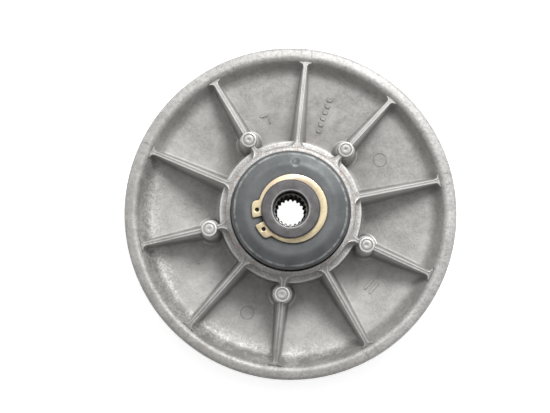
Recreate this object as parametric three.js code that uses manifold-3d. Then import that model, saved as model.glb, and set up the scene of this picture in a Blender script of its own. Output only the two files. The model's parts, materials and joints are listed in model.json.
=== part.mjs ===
// Driven pulley of a belt-type continuously variable transmission: two cast sheaves on a splined
// steel hub. The fixed sheave is riveted to the hub. The movable sheave slides along the hub against
// a spring and turns as it slides, because three rollers on the hub run in its helical cam slots.
//
// Millimetres. +Z is the pulley's axis, and points from the fixed sheave to the circlip end.
// The origin is on the axis, in the plane of the fixed sheave's back rim.
// The model stands in its closed position, with the sheaves together.

import * as THREE from "three";
import { mergeVertices } from "three/addons/utils/BufferGeometryUtils.js";
import Module from "manifold-3d";

const wasm = await Module();
wasm.setup();

// ---------------------------------------------------------------- driving dimensions

const SHEAVE_RADIUS = 107;
const FACE_ANGLE = THREE.MathUtils.degToRad(13); // each belt face leans this much from the flat
const FACE_SLOPE = Math.tan(FACE_ANGLE);
const FACE_INNER_RADIUS = 39;
const WEB_THICKNESS = 5;
const TRAVEL = 22; // how far the movable sheave can slide open
const CAM_TURN = THREE.MathUtils.degToRad(48); // how far it turns over that travel

const FIXED_FACE_Z = 28; // height of the fixed sheave's belt face at its inner radius
const CLOSED_GAP = 0.5; // left between the two faces when closed
const MOVABLE_FACE_Z = FIXED_FACE_Z + CLOSED_GAP;

const HUB_RADIUS = 18;
const HUB_LENGTH = 104;
const RUNNING_GAP = 0.09; // radial, on a faceted bore
const SEAT_GAP = 0.1; // radial, between parts that stay together

const RIB_COUNT = 10;
const RIB_THICKNESS = 3.2;
const RIM_BAND_WIDTH = 8.5; // flat part of the rim, seen along the axis
const RIM_FLANK_WIDTH = 11; // curved flank from the rim band down to the web
const MOVABLE_RIM_HEIGHT = 14; // rim top above the belt face's outer edge
const FIXED_RIM_HEIGHT = 11;
const BOSS_RADIUS = 4.9;
const BOSS_CIRCLE_RADIUS = 52.3;

const WELL_RADIUS = 37.6; // inside of each sheave's hub wall
const HUB_WALL_RADIUS = 40.7;
const COLLAR_RADIUS = 45; // step round the foot of the movable sheave's hub wall
const HUB_WALL_TOP_Z = 77;
const COLLAR_TOP_Z = 69;

const FLANGE_BOTTOM_Z = 10;
const FLANGE_TOP_Z = 16;
const FLANGE_RADIUS = 36.5;
const RIVET_COUNT = 6;
const RIVET_CIRCLE_RADIUS = 31.8;
const RIVET_SHANK_RADIUS = 2.75;
const RIVET_HEAD_RADIUS = 4.5;
const RIVET_HEAD_HEIGHT = 2.4;

const SPLINE_TEETH = 19;
const SPLINE_TIP_RADIUS = 8.6;
const SPLINE_ROOT_RADIUS = 9.7;
const SPLINE_Z = [34, 85];
const MOUTH_RADIUS = 10.6; // plain bore above the splines
const ENTRY_RADIUS = 12.5; // plain bore below them

const SLEEVE_INNER_RADIUS = 20;
const SLEEVE_OUTER_RADIUS = 24;
const SLEEVE_Z = [17, 73];
const CAM_COUNT = 3;
const CAM_PIN_Z = 57.3;
const CAM_PIN_RADIUS = 4;
const CAM_PIN_REACH = [12.2, 23.5]; // from the axis
const ROLLER_RADIUS = 6;
const ROLLER_REACH = [18.5, 23.2];
const ROLLER_CLEARANCE = 0.2;

const SEAL_COLLAR_RADIUS = [24.3, 25.8];
const SEAL_COLLAR_Z = [36.8, 71.5];
const SEAL_FLANGE_THICKNESS = 1.8;
const SEAL_FLANGE_RADIUS = 35.5;
const THRUST_WASHER_THICKNESS = 2;

const SPRING_WIRE_RADIUS = 2.3;
const SPRING_MEAN_RADIUS = 29.3;
const SPRING_COILS = 5.5;

const CUP_TOP_Z = 98;
const CUP_RADIUS = 36.8;
const CUP_SKIRT_Z = 70;
const CUP_SHEET = 1.8;
const CUP_CORNER_RADIUS = 6;
const DIMPLE_CIRCLE_RADIUS = 29.4;

const GROOVE_RADIUS = 17;
const CIRCLIP_THICKNESS = 1.75;
const CIRCLIP_GAP_ANGLE = THREE.MathUtils.degToRad(204.5);

const SMALL = 12; // facets round a rivet
const COARSE = 20; // facets round a pin, roller or pad
const MEDIUM = 36; // facets round the hub and what runs on it
const FINE = 40; // facets round a sheave, four to each bay between ribs

// ---------------------------------------------------------------- materials

const metal = (color, roughness, metalness = 1) =>
  new THREE.MeshStandardMaterial({ color, roughness, metalness });

const castAluminium = metal(0x9b9b99, 0.55, 0.7);
const darkSteel = metal(0x4a474b, 0.5);
const blackSteel = metal(0x3a4045, 0.35, 0.5);
const yellowZinc = metal(0xc9b07a, 0.3);
const springSteel = metal(0x2f3032, 0.4, 0.6);
const brightSteel = metal(0xb8babd, 0.25);
const bushingBronze = metal(0xa07a48, 0.45);
const nylon = metal(0xe6e0cf, 0.5, 0);
const rubber = metal(0x1c1c1c, 0.8, 0);

// ---------------------------------------------------------------- shape helpers

// A closed three.js geometry as a solid, turned outside out if its faces point inwards.
function solid(geometry) {
  const bare = geometry.clone();
  bare.deleteAttribute("normal");
  bare.deleteAttribute("uv");
  const merged = mergeVertices(bare, 1e-4);
  const triVerts = new Uint32Array(merged.index.array);
  const vertProperties = merged.attributes.position.array;
  const build = () => new wasm.Manifold(new wasm.Mesh({ numProp: 3, vertProperties, triVerts }));
  const made = build();
  if (made.volume() > 0) return made;
  for (let i = 0; i < triVerts.length; i += 3) {
    [triVerts[i + 1], triVerts[i + 2]] = [triVerts[i + 2], triVerts[i + 1]];
  }
  return build();
}

function geometryOf(body) {
  const mesh = body.getMesh();
  return new THREE.BufferGeometry()
    .setAttribute("position", new THREE.BufferAttribute(mesh.vertProperties, 3))
    .setIndex(new THREE.BufferAttribute(mesh.triVerts, 1));
}

const join = (...bodies) => bodies.reduce((a, b) => a.add(b));
const cut = (body, ...cutters) => cutters.reduce((a, b) => a.subtract(b), body);

// A solid of revolution about Z from a closed outline of [radius, z] pairs.
function revolved(outline, facets) {
  const points = outline.map(([r, z]) => new THREE.Vector2(r, z));
  if (outline[0][0] > 0) points.push(points[0].clone());
  return solid(new THREE.LatheGeometry(points, facets).rotateX(Math.PI / 2));
}

// A plain ring between two radii and two heights.
const ring = ([inner, outer], [low, high], facets) =>
  revolved([[inner, low], [outer, low], [outer, high], [inner, high]], facets);

const rod = (radius, [low, high], facets) =>
  revolved([[0, low], [radius, low], [radius, high], [0, high]], facets);

// Points of an arc in the outline plane, both ends included. Angles in degrees.
function arc(r, z, radius, from, to, steps) {
  return Array.from({ length: steps + 1 }, (_, i) => {
    const a = THREE.MathUtils.degToRad(from + ((to - from) * i) / steps);
    return [r + radius * Math.cos(a), z + radius * Math.sin(a)];
  });
}

const turned = (body, angle) => body.rotate([0, 0, THREE.MathUtils.radToDeg(angle)]);

// Copies of a body evenly spaced round the axis.
const around = (body, count, start = 0) =>
  Array.from({ length: count }, (_, i) => turned(body, start + (i * 2 * Math.PI) / count));

// A cylinder along +X from one distance to another, at a height: a pin that points away from the axis.
function radialRod(radius, [near, far], z, facets) {
  const shape = new THREE.CylinderGeometry(radius, radius, far - near, facets);
  return solid(shape.rotateZ(-Math.PI / 2).translate((near + far) / 2, 0, z));
}

// ---------------------------------------------------------------- sheaves

const RIM_INNER_RADIUS = SHEAVE_RADIUS - RIM_BAND_WIDTH;
const FLANK_FOOT_RADIUS = RIM_INNER_RADIUS - RIM_FLANK_WIDTH;
const faceRise = (r) => (r - FACE_INNER_RADIUS) * FACE_SLOPE;
// Heights of the rims' tops above the faces' inner edges.
const MOVABLE_RIM_TOP = faceRise(SHEAVE_RADIUS) + MOVABLE_RIM_HEIGHT;
const FIXED_RIM_TOP = faceRise(SHEAVE_RADIUS) + FIXED_RIM_HEIGHT;
const EDGE = 1.5; // rounding of the rim's edges

// The ribbed side of a sheave's web and rim, as heights above the belt face's inner edge, going in.
function ribbedSide(innerRadius, rimTop) {
  const foot = faceRise(FLANK_FOOT_RADIUS) + WEB_THICKNESS;
  const depth = rimTop - foot;
  const flank = [0.25, 0.6, 1].map((t) => [
    RIM_INNER_RADIUS - RIM_FLANK_WIDTH * t,
    rimTop - depth * Math.sin((t * Math.PI) / 2),
  ]);
  return [
    [SHEAVE_RADIUS, rimTop - EDGE],
    [SHEAVE_RADIUS - EDGE, rimTop],
    [RIM_INNER_RADIUS, rimTop],
    ...flank,
    [innerRadius, faceRise(innerRadius) + WEB_THICKNESS],
  ];
}

// One radial rib along +X, from under the web's surface up to a straight crest.
function rib(crestInner, crestOuter) {
  const inner = WELL_RADIUS + 1.5;
  const outer = RIM_INNER_RADIUS + 1;
  const shape = new THREE.Shape([
    new THREE.Vector2(inner, faceRise(inner) + WEB_THICKNESS / 2),
    new THREE.Vector2(outer, faceRise(outer) + WEB_THICKNESS / 2),
    new THREE.Vector2(outer, crestOuter),
    new THREE.Vector2(inner, crestInner),
  ]);
  const side = new THREE.ExtrudeGeometry(shape, { depth: RIB_THICKNESS, bevelEnabled: false });
  return solid(side.translate(0, 0, -RIB_THICKNESS / 2).rotateX(Math.PI / 2));
}

// The round pad on every other rib.
function boss(top) {
  const foot = faceRise(BOSS_CIRCLE_RADIUS) + WEB_THICKNESS / 2;
  const shape = new THREE.CylinderGeometry(BOSS_RADIUS, BOSS_RADIUS + 0.5, top - foot, COARSE);
  return solid(shape.rotateX(Math.PI / 2).translate(BOSS_CIRCLE_RADIUS, 0, (top + foot) / 2));
}

// Ribs start on +Y; the pads sit on the second rib and every other one after it.
function ribsAndBosses(crestInner, crestOuter, bossTop) {
  const first = Math.PI / 2;
  const step = (2 * Math.PI) / RIB_COUNT;
  return [
    ...around(rib(crestInner, crestOuter), RIB_COUNT, first),
    ...around(boss(bossTop), RIB_COUNT / 2, first + step),
  ];
}

function movableSheave() {
  const wallTop = HUB_WALL_TOP_Z - MOVABLE_FACE_Z;
  const collarTop = COLLAR_TOP_Z - MOVABLE_FACE_Z;
  const plateTop = 8;
  const body = revolved(
    [
      [SLEEVE_OUTER_RADIUS + SEAT_GAP, 0],
      [FACE_INNER_RADIUS, 0],
      [SHEAVE_RADIUS - EDGE, faceRise(SHEAVE_RADIUS - EDGE)],
      [SHEAVE_RADIUS, faceRise(SHEAVE_RADIUS) + EDGE / 2],
      ...ribbedSide(COLLAR_RADIUS + 0.6, MOVABLE_RIM_TOP),
      [COLLAR_RADIUS, collarTop],
      [HUB_WALL_RADIUS, collarTop],
      [HUB_WALL_RADIUS, wallTop],
      [WELL_RADIUS, wallTop],
      [WELL_RADIUS, plateTop],
      [SLEEVE_OUTER_RADIUS + SEAT_GAP, plateTop],
    ],
    FINE,
  );
  const face = join(body, ...ribsAndBosses(wallTop - 0.5, MOVABLE_RIM_TOP - 0.4, 46.5));
  return face.translate([0, 0, MOVABLE_FACE_Z]);
}

// Built face up like the movable one, then turned over about the X axis.
function fixedSheave() {
  const wallTop = FIXED_FACE_Z - 4;
  const plateTop = FIXED_FACE_Z - FLANGE_TOP_Z - SEAT_GAP;
  const boreRadius = SLEEVE_OUTER_RADIUS + 2;
  const body = revolved(
    [
      [boreRadius, 0],
      [FACE_INNER_RADIUS, 0],
      [SHEAVE_RADIUS - EDGE, faceRise(SHEAVE_RADIUS - EDGE)],
      [SHEAVE_RADIUS, faceRise(SHEAVE_RADIUS) + EDGE / 2],
      ...ribbedSide(HUB_WALL_RADIUS + 1, FIXED_RIM_TOP),
      [HUB_WALL_RADIUS, wallTop],
      [WELL_RADIUS, wallTop],
      [WELL_RADIUS, plateTop],
      [boreRadius, plateTop],
    ],
    FINE,
  );
  const holes = rivetPositions.map((angle) =>
    turned(rivetShape(SEAT_GAP).translate([RIVET_CIRCLE_RADIUS, 0, 0]), angle),
  );
  const face = join(body, ...ribsAndBosses(wallTop - 0.3, FIXED_RIM_TOP - 0.4, wallTop - 0.3));
  return cut(face.rotate([180, 0, 0]).translate([0, 0, FIXED_FACE_Z]), ...holes);
}

// ---------------------------------------------------------------- hub and its rivets

const rivetPositions = Array.from({ length: RIVET_COUNT }, (_, i) => (i * 2 * Math.PI) / RIVET_COUNT);

// A rivet on the Z axis: round head under the flange, countersunk head flush with the belt side.
function rivetShape(grow = 0) {
  const shank = RIVET_SHANK_RADIUS + grow;
  const head = RIVET_HEAD_RADIUS - 0.3 + grow;
  const top = FIXED_FACE_Z - (grow ? -1 : SEAT_GAP);
  const under = FLANGE_BOTTOM_Z - SEAT_GAP;
  return revolved(
    [
      [0, under - RIVET_HEAD_HEIGHT],
      [RIVET_HEAD_RADIUS * 0.6, under - RIVET_HEAD_HEIGHT * 0.85],
      [RIVET_HEAD_RADIUS, under - RIVET_HEAD_HEIGHT * 0.3],
      [RIVET_HEAD_RADIUS, under],
      [shank, under],
      [shank, FIXED_FACE_Z - 2 - grow],
      [head, FIXED_FACE_Z - 0.4],
      [head, top],
      [0, top],
    ],
    SMALL,
  );
}

// The splined bore's cross-section: straight-flanked teeth that point at the axis.
function splineShape() {
  const pitch = (2 * Math.PI) / SPLINE_TEETH;
  const corners = [
    [SPLINE_TIP_RADIUS, -0.2],
    [SPLINE_TIP_RADIUS, 0.2],
    [SPLINE_ROOT_RADIUS, 0.34],
    [SPLINE_ROOT_RADIUS, 0.66],
  ];
  const points = [];
  for (let tooth = 0; tooth < SPLINE_TEETH; tooth++) {
    for (const [radius, share] of corners) {
      const a = (tooth + share) * pitch;
      points.push(new THREE.Vector2(radius * Math.cos(a), radius * Math.sin(a)));
    }
  }
  return new THREE.Shape(points);
}

function splinedHub() {
  const chamfer = 1;
  const spigot = HUB_RADIUS + 2;
  const outside = revolved(
    [
      [0, 0],
      [spigot - chamfer, 0],
      [spigot, chamfer],
      [spigot, FLANGE_BOTTOM_Z],
      [FLANGE_RADIUS, FLANGE_BOTTOM_Z],
      [FLANGE_RADIUS, FLANGE_TOP_Z],
      [HUB_RADIUS, FLANGE_TOP_Z],
      [HUB_RADIUS, CUP_TOP_Z + 0.05],
      [GROOVE_RADIUS, CUP_TOP_Z + 0.05],
      [GROOVE_RADIUS, CUP_TOP_Z + CIRCLIP_THICKNESS + 0.25],
      [HUB_RADIUS, CUP_TOP_Z + CIRCLIP_THICKNESS + 0.25],
      [HUB_RADIUS, HUB_LENGTH - chamfer],
      [HUB_RADIUS - chamfer, HUB_LENGTH],
      [0, HUB_LENGTH],
    ],
    MEDIUM,
  );
  const [low, high] = SPLINE_Z;
  const bore = revolved(
    [
      [0, -1],
      [ENTRY_RADIUS + 2, -1],
      [ENTRY_RADIUS, chamfer],
      [ENTRY_RADIUS, low],
      [SPLINE_TIP_RADIUS - 1, low],
      [SPLINE_TIP_RADIUS - 1, high],
      [MOUTH_RADIUS, high],
      [MOUTH_RADIUS, HUB_LENGTH - 0.7],
      [MOUTH_RADIUS + 1.7, HUB_LENGTH + 1],
      [0, HUB_LENGTH + 1],
    ],
    MEDIUM,
  );
  const splines = new THREE.ExtrudeGeometry(splineShape(), { depth: high + 1 - low, bevelEnabled: false });
  const pinHole = radialRod(CAM_PIN_RADIUS + SEAT_GAP, [CAM_PIN_REACH[0] - 0.3, 30], CAM_PIN_Z, COARSE);
  const rivetHole = rod(RIVET_SHANK_RADIUS + SEAT_GAP, [0, FLANGE_TOP_Z + 5], SMALL);
  return cut(
    outside,
    bore,
    solid(splines.translate(0, 0, low - 0.5)),
    ...around(pinHole, CAM_COUNT),
    ...around(rivetHole.translate([RIVET_CIRCLE_RADIUS, 0, 0]), RIVET_COUNT),
  );
}

// ---------------------------------------------------------------- torque cam

// How the slots climb: the sleeve turns by this much for each millimetre it rises.
const TURN_PER_MM = CAM_TURN / TRAVEL;

// A straight box bent into the path that a roller takes through the sleeve. Its X runs across the
// slot, Y along it and Z away from the axis, and each point keeps its true distance from the path.
function camSlotFlanks() {
  const half = ROLLER_RADIUS + ROLLER_CLEARANCE;
  const [near, far] = [SLEEVE_INNER_RADIUS - 2, SLEEVE_OUTER_RADIUS + 2];
  const shape = new THREE.BoxGeometry(2 * half, TRAVEL, far - near, 1, 8, 2);
  const at = shape.attributes.position;
  for (let i = 0; i < at.count; i++) {
    const radius = at.getZ(i) + (near + far) / 2;
    const drop = TRAVEL / 2 - at.getY(i); // below the pin's height
    const lean = Math.atan(radius * TURN_PER_MM);
    const across = at.getX(i);
    const angle = (across * Math.cos(lean)) / radius - drop * TURN_PER_MM;
    at.setXYZ(
      i,
      radius * Math.cos(angle),
      radius * Math.sin(angle),
      CAM_PIN_Z - drop - across * Math.sin(lean),
    );
  }
  return solid(shape);
}

function camSlot() {
  const end = radialRod(
    ROLLER_RADIUS + ROLLER_CLEARANCE,
    [SLEEVE_INNER_RADIUS - 5, SLEEVE_OUTER_RADIUS + 4],
    CAM_PIN_Z,
    COARSE,
  );
  const lowEnd = turned(end.translate([0, 0, -TRAVEL]), -CAM_TURN);
  return join(camSlotFlanks(), end, lowEnd);
}

function camSleeve() {
  const high = SLEEVE_Z[1];
  const tube = ring([SLEEVE_INNER_RADIUS, SLEEVE_OUTER_RADIUS], SLEEVE_Z, MEDIUM);
  const grooveReach = [SLEEVE_OUTER_RADIUS - 1.2, SLEEVE_OUTER_RADIUS + 2];
  const oRingGroove = ring(grooveReach, [high - 5.6, high - 3.4], MEDIUM);
  return cut(tube, oRingGroove, ...around(camSlot(), CAM_COUNT));
}

function camRoller() {
  const outside = radialRod(ROLLER_RADIUS, ROLLER_REACH, CAM_PIN_Z, COARSE);
  const through = [ROLLER_REACH[0] - 1, ROLLER_REACH[1] + 1];
  const bore = radialRod(CAM_PIN_RADIUS + RUNNING_GAP, through, CAM_PIN_Z, COARSE);
  return cut(outside, bore);
}

const camPin = () => radialRod(CAM_PIN_RADIUS, CAM_PIN_REACH, CAM_PIN_Z, COARSE);

// ---------------------------------------------------------------- seals, washer, spring, cup, circlip

const sleeveBore = [HUB_RADIUS + RUNNING_GAP, SLEEVE_INNER_RADIUS - SEAT_GAP];
const lowerBushing = () => ring(sleeveBore, [SLEEVE_Z[0] + 4, SLEEVE_Z[0] + 10.5], MEDIUM);
const upperBushing = () => ring(sleeveBore, [SLEEVE_Z[1] - 9, SLEEVE_Z[1] - 3.2], MEDIUM);

// A grease seal with a lip that runs on the hub. Up is +1 where the lip points up, else -1.
function greaseSeal(z, up) {
  const [lip, outer] = sleeveBore;
  const body = [
    [lip + 0.5, 0],
    [outer, 0],
    [outer, 2.6],
    [lip + 0.9, 1.4],
    [lip, 2.4],
  ];
  return revolved(body.map(([r, h]) => [r, z + up * h]), MEDIUM);
}

function oRing(radius, section, z) {
  const shape = new THREE.TorusGeometry(radius, section, 6, MEDIUM);
  return solid(shape.translate(0, 0, z));
}

function sealCollar() {
  const [inner, outer] = SEAL_COLLAR_RADIUS;
  const [low, high] = SEAL_COLLAR_Z;
  return revolved(
    [
      [inner + 1, low],
      [SEAL_FLANGE_RADIUS, low],
      [SEAL_FLANGE_RADIUS, low + SEAL_FLANGE_THICKNESS],
      [outer, low + SEAL_FLANGE_THICKNESS],
      [outer, high],
      [inner, high],
      [inner, low + 1.6],
      [inner + 1, low + 0.9],
    ],
    MEDIUM,
  );
}

const WASHER_BOTTOM_Z = SEAL_COLLAR_Z[0] + SEAL_FLANGE_THICKNESS + 0.1;
const SPRING_Z = [WASHER_BOTTOM_Z + THRUST_WASHER_THICKNESS + 0.1, CUP_TOP_Z - CUP_SHEET - 0.3];

function thrustWasher() {
  const bottom = WASHER_BOTTOM_Z;
  return ring([SEAL_COLLAR_RADIUS[1] + 0.4, 35], [bottom, bottom + THRUST_WASHER_THICKNESS], MEDIUM);
}

// Coil centre-line: one closed coil at each end, with the open coils evenly pitched between them.
class SpringCurve extends THREE.Curve {
  getPoint(t, target = new THREE.Vector3()) {
    const [low, high] = SPRING_Z;
    const closed = 1 / SPRING_COILS;
    const closedRise = 2 * SPRING_WIRE_RADIUS + 0.15;
    const bottom = low + SPRING_WIRE_RADIUS * 0.4;
    const top = high - SPRING_WIRE_RADIUS * 0.4;
    const share = THREE.MathUtils.clamp((t - closed) / (1 - 2 * closed), 0, 1);
    const rise = (Math.min(t, closed) + Math.max(t - 1 + closed, 0)) / closed;
    const z = bottom + rise * closedRise + share * (top - bottom - 2 * closedRise);
    const a = t * SPRING_COILS * 2 * Math.PI;
    return target.set(SPRING_MEAN_RADIUS * Math.cos(a), SPRING_MEAN_RADIUS * Math.sin(a), z);
  }
}

// The ends are ground flat square to the axis.
function compressionSpring() {
  const section = new THREE.Shape().absarc(0, 0, SPRING_WIRE_RADIUS, 0, 2 * Math.PI);
  const wire = new THREE.ExtrudeGeometry(section, {
    steps: Math.round(SPRING_COILS * 16),
    curveSegments: 4,
    extrudePath: new SpringCurve(),
  });
  return solid(wire).intersect(rod(SPRING_MEAN_RADIUS + 10, SPRING_Z, COARSE));
}

function springCup() {
  const top = CUP_TOP_Z;
  const corner = CUP_CORNER_RADIUS;
  const sheet = revolved(
    [
      [HUB_RADIUS + 0.3, top - CUP_SHEET],
      ...arc(CUP_RADIUS - corner, top - corner, corner - CUP_SHEET, 90, 0, 2),
      [CUP_RADIUS - CUP_SHEET, CUP_SKIRT_Z],
      [CUP_RADIUS, CUP_SKIRT_Z],
      ...arc(CUP_RADIUS - corner, top - corner, corner, 0, 90, 3),
      [HUB_RADIUS + 0.3, top],
    ],
    MEDIUM,
  );
  const dimple = new THREE.SphereGeometry(4, 16, 12).translate(0, DIMPLE_CIRCLE_RADIUS, top + 3.1);
  return cut(sheet, solid(dimple));
}

// An external circlip: a ring that thickens away from its gap, with a drilled lug on each side of it.
function circlipShape() {
  const inner = GROOVE_RADIUS + 0.05;
  const outer = 21.1;
  const offset = 1.4; // of the outer circle, away from the gap
  const gap = 0.1; // half angle of the gap
  const lugEnd = 0.55; // half angle over both lugs
  const lugRadius = 23.8;
  const ringEnd = 0.68;
  const chord = (a) => Math.sqrt(outer ** 2 - (offset * Math.sin(a)) ** 2);
  const outerAt = (a) => chord(a) - offset * Math.cos(a);
  const polar = (r, a) => new THREE.Vector2(r * Math.cos(a), r * Math.sin(a));
  const sweep = (radiusAt, from, to, steps) =>
    Array.from({ length: steps + 1 }, (_, i) => {
      const a = from + ((to - from) * i) / steps;
      return polar(radiusAt(a), a);
    });
  const full = 2 * Math.PI;
  const shape = new THREE.Shape([
    ...sweep(() => lugRadius, gap, lugEnd - 0.12, 4),
    polar(lugRadius - 0.9, lugEnd - 0.02),
    ...sweep(outerAt, ringEnd, full - ringEnd, 40),
    polar(lugRadius - 0.9, full - lugEnd + 0.02),
    ...sweep(() => lugRadius, full - lugEnd + 0.12, full - gap, 4),
    ...sweep(() => inner, full - gap, gap, 44),
  ]);
  for (const side of [1, -1]) {
    const eye = polar(20.6, side * 0.31);
    shape.holes.push(new THREE.Path().absarc(eye.x, eye.y, 1.3, 0, full));
  }
  return shape;
}

function circlip() {
  const plate = new THREE.ExtrudeGeometry(circlipShape(), {
    depth: CIRCLIP_THICKNESS,
    bevelEnabled: false,
    curveSegments: 8,
  });
  return solid(plate.rotateZ(CIRCLIP_GAP_ANGLE).translate(0, 0, CUP_TOP_Z + 0.15));
}

// ---------------------------------------------------------------- assembly

const pulley = new THREE.Group();

function add(name, body, material) {
  const mesh = new THREE.Mesh(geometryOf(body), material);
  mesh.name = name;
  pulley.add(mesh);
}

add("splined_hub", splinedHub(), darkSteel);
add("fixed_sheave", fixedSheave(), castAluminium);
rivetPositions.forEach((angle, i) => {
  const body = turned(rivetShape().translate([RIVET_CIRCLE_RADIUS, 0, 0]), angle);
  add(`hub_rivet_${i + 1}`, body, brightSteel);
});
around(camPin(), CAM_COUNT).forEach((body, i) => add(`cam_pin_${i + 1}`, body, brightSteel));
around(camRoller(), CAM_COUNT).forEach((body, i) => add(`cam_roller_${i + 1}`, body, brightSteel));

add("movable_sheave", movableSheave(), castAluminium);
add("cam_sleeve", camSleeve(), darkSteel);
add("lower_bushing", lowerBushing(), bushingBronze);
add("upper_bushing", upperBushing(), bushingBronze);
add("lower_grease_seal", greaseSeal(SLEEVE_Z[0] + 3.5, -1), rubber);
add("upper_grease_seal", greaseSeal(SLEEVE_Z[1] - 2.9, 1), rubber);
add("lower_o_ring", oRing(24.62, 0.42, SEAL_COLLAR_Z[0] + 0.35), rubber);
add("upper_o_ring", oRing(SLEEVE_OUTER_RADIUS - 0.5, 0.6, SLEEVE_Z[1] - 4.5), rubber);
add("seal_collar", sealCollar(), brightSteel);
add("thrust_washer", thrustWasher(), nylon);
add("compression_spring", compressionSpring(), springSteel);
add("spring_cup", springCup(), blackSteel);
add("circlip", circlip(), yellowZinc);

export default pulley;
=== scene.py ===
"""Looks of a driven pulley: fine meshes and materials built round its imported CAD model.

Every length in this script is in millimetres in the CAD model's frame, and becomes metres where a
mesh is made. Heights and outer radii are read from the CAD nodes; the sections below add the
roundings, fillets and marks that the faceted model leaves out.
"""

import json
import math

import bmesh
import bpy
import numpy as np
from mathutils import Matrix, Vector


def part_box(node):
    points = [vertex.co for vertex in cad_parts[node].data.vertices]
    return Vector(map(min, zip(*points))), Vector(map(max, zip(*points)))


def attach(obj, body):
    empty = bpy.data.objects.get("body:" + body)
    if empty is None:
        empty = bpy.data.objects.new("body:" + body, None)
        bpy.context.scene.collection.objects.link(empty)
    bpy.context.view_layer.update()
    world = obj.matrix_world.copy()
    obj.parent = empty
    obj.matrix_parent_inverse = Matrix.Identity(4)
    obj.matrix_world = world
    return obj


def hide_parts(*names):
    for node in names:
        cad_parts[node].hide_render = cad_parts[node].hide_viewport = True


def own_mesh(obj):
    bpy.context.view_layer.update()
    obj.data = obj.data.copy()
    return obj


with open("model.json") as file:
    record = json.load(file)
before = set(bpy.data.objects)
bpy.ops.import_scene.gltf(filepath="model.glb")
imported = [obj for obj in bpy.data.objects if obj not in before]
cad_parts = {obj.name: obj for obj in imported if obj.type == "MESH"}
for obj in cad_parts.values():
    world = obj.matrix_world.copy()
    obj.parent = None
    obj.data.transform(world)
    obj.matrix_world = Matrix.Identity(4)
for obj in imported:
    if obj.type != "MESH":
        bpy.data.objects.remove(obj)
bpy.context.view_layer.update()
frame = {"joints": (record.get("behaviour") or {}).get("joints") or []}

MM = 0.001


# ---- places read from the CAD model

def low(node):
    """Height of a CAD node's lowest point."""
    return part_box(node)[0].z / MM


def high(node):
    """Height of a CAD node's highest point."""
    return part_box(node)[1].z / MM


def reach(node):
    """Distance from the axis to a round CAD node's outside."""
    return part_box(node)[1].x / MM


SHEAVE_RADIUS = reach("movable_sheave")
FACE_SLOPE = math.tan(math.radians(13))
FACE_INNER_RADIUS = 39.0
WEB = 5.0  # thickness of a sheave's web
WELL_RADIUS = 37.6
HUB_WALL_RADIUS = 40.7
COLLAR_RADIUS = 45.0
COLLAR_DROP = 8.0  # collar's step below the top of the hub wall
BOSS_RADIUS = 4.9
BOSS_CIRCLE_RADIUS = 52.3
RIB_COUNT = 10
RIB_HALF_WIDTH = 1.2  # at the crest
HUB_RADIUS = 18.0
HUB_TOP = high("splined_hub")
CUP_TOP = high("spring_cup")
CUP_SHEET = 1.8
FLANGE_BOTTOM = 10.0
FLANGE_TOP = 16.0
FLANGE_RADIUS = 36.5
RIVET_CIRCLE_RADIUS = 31.8
RIVET_COUNT = 6
CAM_COUNT = 3
CAM_PIN_Z = (low("cam_pin_1") + high("cam_pin_1")) / 2
ROLLER_RADIUS = (high("cam_roller_1") - low("cam_roller_1")) / 2
TRAVEL = frame["joints"][0]["range_m"][1] / MM
CAM_TURN = math.radians(48)
CIRCLIP_TURN = 204.5


# ---- outlines

def rounded(corners, steps=5):
    """Closed outline of [r, z] points through corners (r, z, radius), each rounded by its radius."""
    points = []
    count = len(corners)
    for i, (r, z, radius) in enumerate(corners):
        corner = np.array([r, z], float)
        before = np.array(corners[i - 1][:2], float) - corner
        after = np.array(corners[(i + 1) % count][:2], float) - corner
        if radius <= 0:
            points.append(corner)
            continue
        a, b = before / np.linalg.norm(before), after / np.linalg.norm(after)
        half = math.acos(float(np.clip(a @ b, -1, 1))) / 2
        centre = corner + (a + b) / np.linalg.norm(a + b) * radius / math.sin(half)
        start = corner + a * radius / math.tan(half) - centre
        end = corner + b * radius / math.tan(half) - centre
        first = math.atan2(start[1], start[0])
        turn = (math.atan2(end[1], end[0]) - first + math.pi) % (2 * math.pi) - math.pi
        for step in range(steps + 1):
            angle = first + turn * step / steps
            points.append(centre + radius * np.array([math.cos(angle), math.sin(angle)]))
    return np.array(points)


def with_steps(outline, longest):
    """The closed outline with its long straight stretches cut into pieces."""
    points = []
    for start, end in zip(outline, np.roll(outline, -1, axis=0)):
        pieces = max(1, math.ceil(np.linalg.norm(end - start) / longest))
        points += [start + (end - start) * i / pieces for i in range(pieces)]
    return np.array(points)


# ---- meshes

def add(name, data):
    """An object in the scene that shows a mesh, curve, lamp or camera."""
    made = bpy.data.objects.new(name, data)
    bpy.context.scene.collection.objects.link(made)
    return made


def make_object(name, vertices, faces):
    """A mesh object from millimetre vertices."""
    mesh = bpy.data.meshes.new(name)
    mesh.from_pydata((np.asarray(vertices, float) * MM).tolist(), [], faces)
    mesh.validate()
    return add(name, mesh)


def applied_mesh(made):
    """The object's mesh as its modifiers or its curve settings shape it."""
    bpy.context.view_layer.update()
    return bpy.data.meshes.new_from_object(made.evaluated_get(bpy.context.evaluated_depsgraph_get()))


def values(items, name, width=3):
    """One property of many vertices, edges or faces, as an array with a row for each."""
    found = np.empty(len(items) * width, np.int32 if name == "vertices" else np.float32)
    items.foreach_get(name, found)
    return found.reshape(-1, width)


def wrapped_faces(rows, columns):
    """Quads of a grid that closes on itself both ways, facing outwards for outlines that run
    clockwise in the r-z plane."""
    faces = []
    for j in range(rows):
        below, above = j * columns, (j + 1) % rows * columns
        for k in range(columns):
            right = (k + 1) % columns
            faces.append((below + k, below + right, above + right, above + k))
    return faces


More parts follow.
